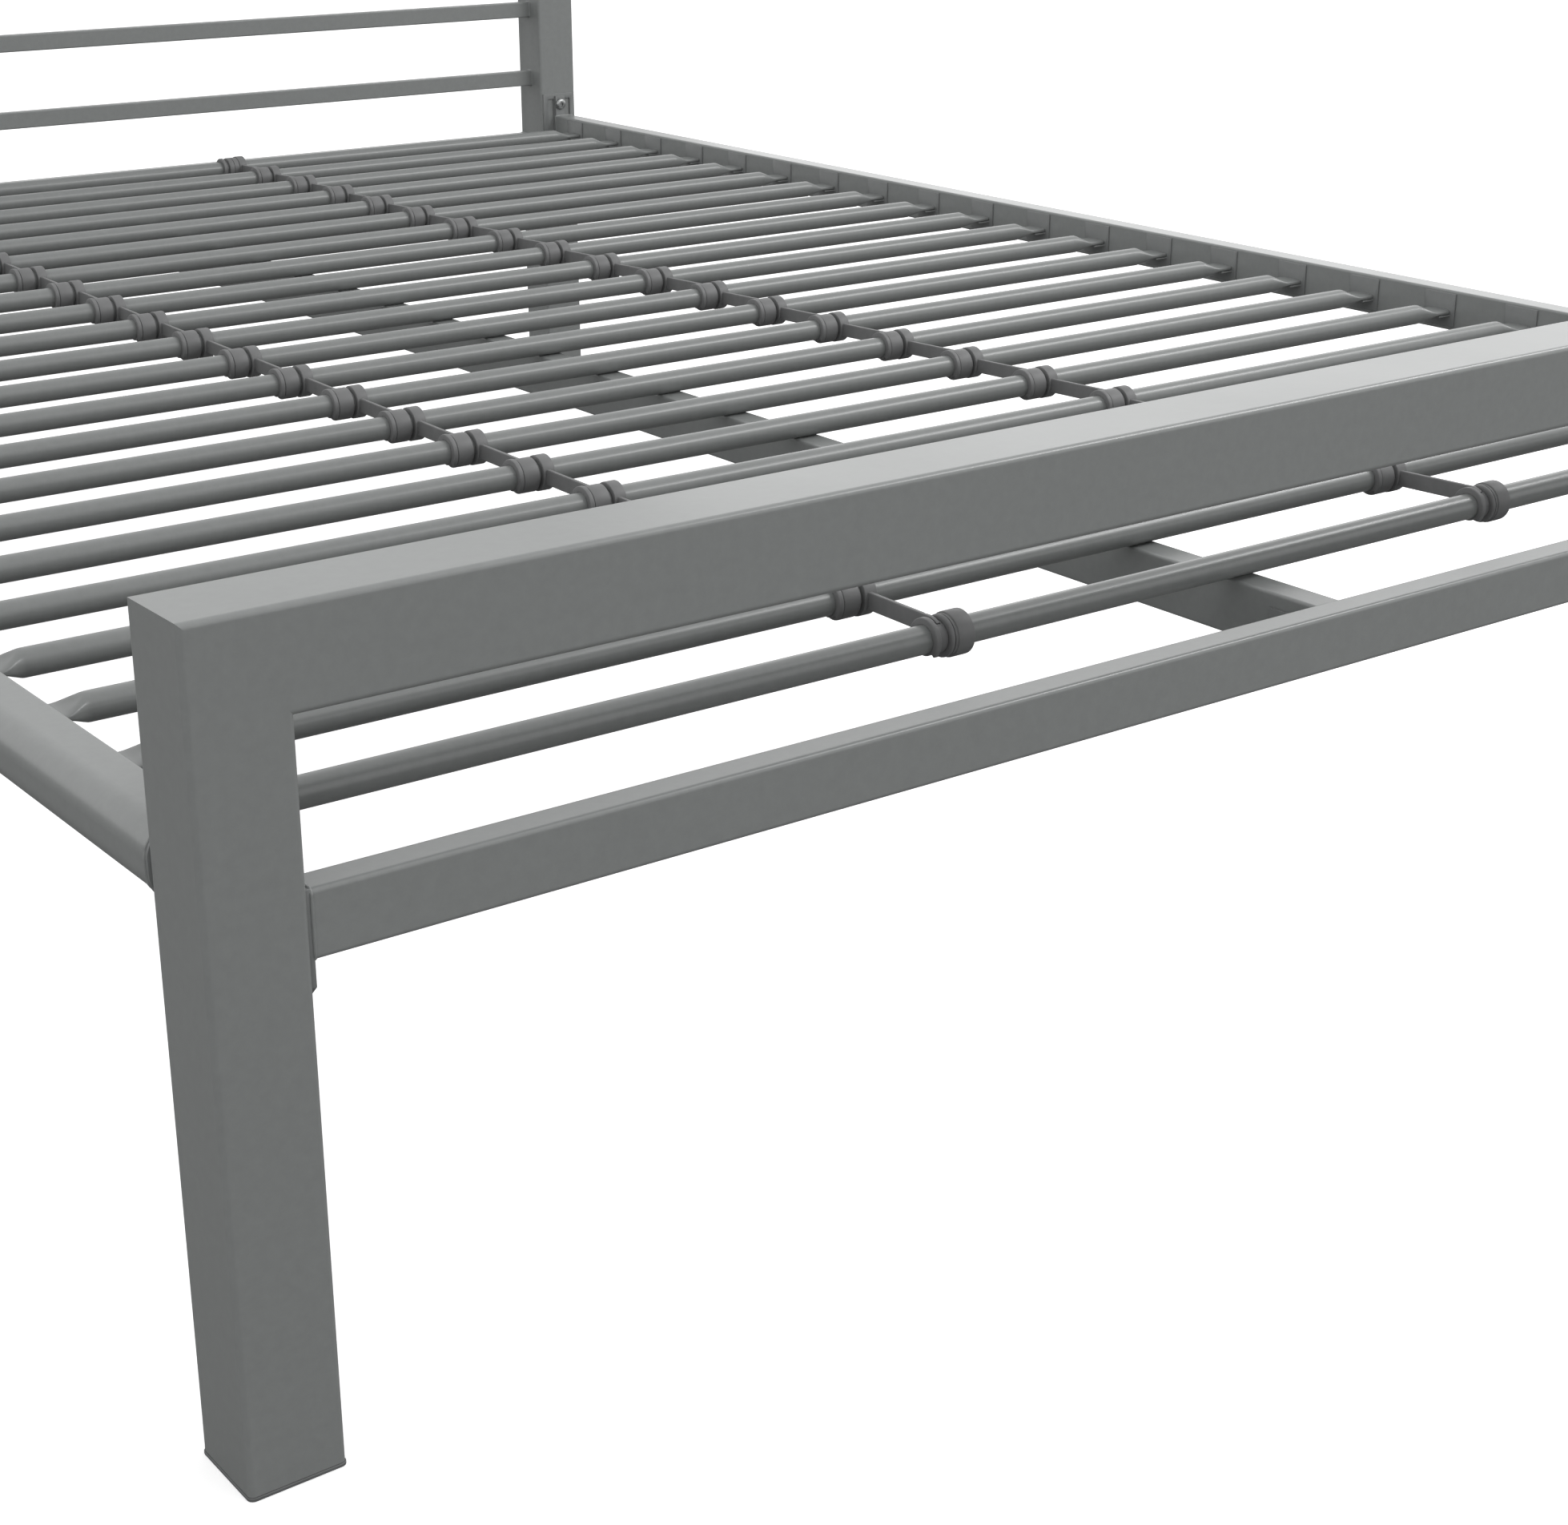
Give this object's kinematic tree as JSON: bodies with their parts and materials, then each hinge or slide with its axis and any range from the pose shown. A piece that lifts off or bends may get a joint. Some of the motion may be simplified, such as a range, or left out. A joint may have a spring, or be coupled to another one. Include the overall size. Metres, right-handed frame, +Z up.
{
  "type": "metal bed frame",
  "caption": "Free-standing metal bed frame with a low foot end, a barred headboard, side rails, a centre rail and round tube slats held by plastic links.",
  "frame": {"origin": "middle of the floor outline, on the floor plane under the four feet", "axes": "+X across the bed, to the right for someone who stands at the foot end and looks at the headboard; +Y from the foot end to the head end; +Z up"},
  "size_m": [1.4772, 2.0502, 0.922],
  "materials": {
    "frame_paint": "satin powder coat, mid grey",
    "slat_paint": "semi-gloss powder coat, mid grey",
    "bracket_paint": "satin powder coat, mid grey",
    "link_plastic": "moulded plastic, grey, matt",
    "cap_plastic": "moulded plastic, dark grey, matt",
    "bolt_steel": "zinc plated, bright",
    "nut_steel": "plain steel, dull"
  },
  "bodies": {
    "root": {"centre_rail": "frame_paint", "centre_rail_cradles": "bracket_paint", "foot_caps": "cap_plastic", "foot_crossbar": "frame_paint", "foot_hook_plates": "bracket_paint", "foot_post_brackets": "bracket_paint", "foot_post_left": "frame_paint", "foot_post_right": "frame_paint", "foot_top_rail": "frame_paint", "frame_bolts": "bolt_steel", "head_bar_1": "frame_paint", "head_bar_2": "frame_paint", "head_bar_3": "frame_paint", "head_bar_4": "frame_paint", "head_bar_5": "frame_paint", "head_bar_6": "frame_paint", "head_crossbar": "frame_paint", "head_hook_plates": "bracket_paint", "head_post_brackets": "bracket_paint", "head_post_left": "frame_paint", "head_post_right": "frame_paint", "head_top_rail": "frame_paint", "rail_end_plates_left": "bracket_paint", "rail_end_plates_right": "bracket_paint", "side_rail_left": "frame_paint", "side_rail_right": "frame_paint", "slat_01": "slat_paint", "slat_02": "slat_paint", "slat_03": "slat_paint", "slat_04": "slat_paint", "slat_05": "slat_paint", "slat_06": "slat_paint", "slat_07": "slat_paint", "slat_08": "slat_paint", "slat_09": "slat_paint", "slat_10": "slat_paint", "slat_11": "slat_paint", "slat_12": "slat_paint", "slat_13": "slat_paint", "slat_14": "slat_paint", "slat_15": "slat_paint", "slat_16": "slat_paint", "slat_17": "slat_paint", "slat_18": "slat_paint", "slat_19": "slat_paint", "slat_20": "slat_paint", "slat_21": "slat_paint", "slat_22": "slat_paint", "slat_angles_left": "bracket_paint", "slat_angles_right": "bracket_paint", "slat_links_left": "link_plastic", "slat_links_right": "link_plastic", "slat_stop_rings": "link_plastic", "weld_nuts": "nut_steel"}
  },
  "joints": []
}
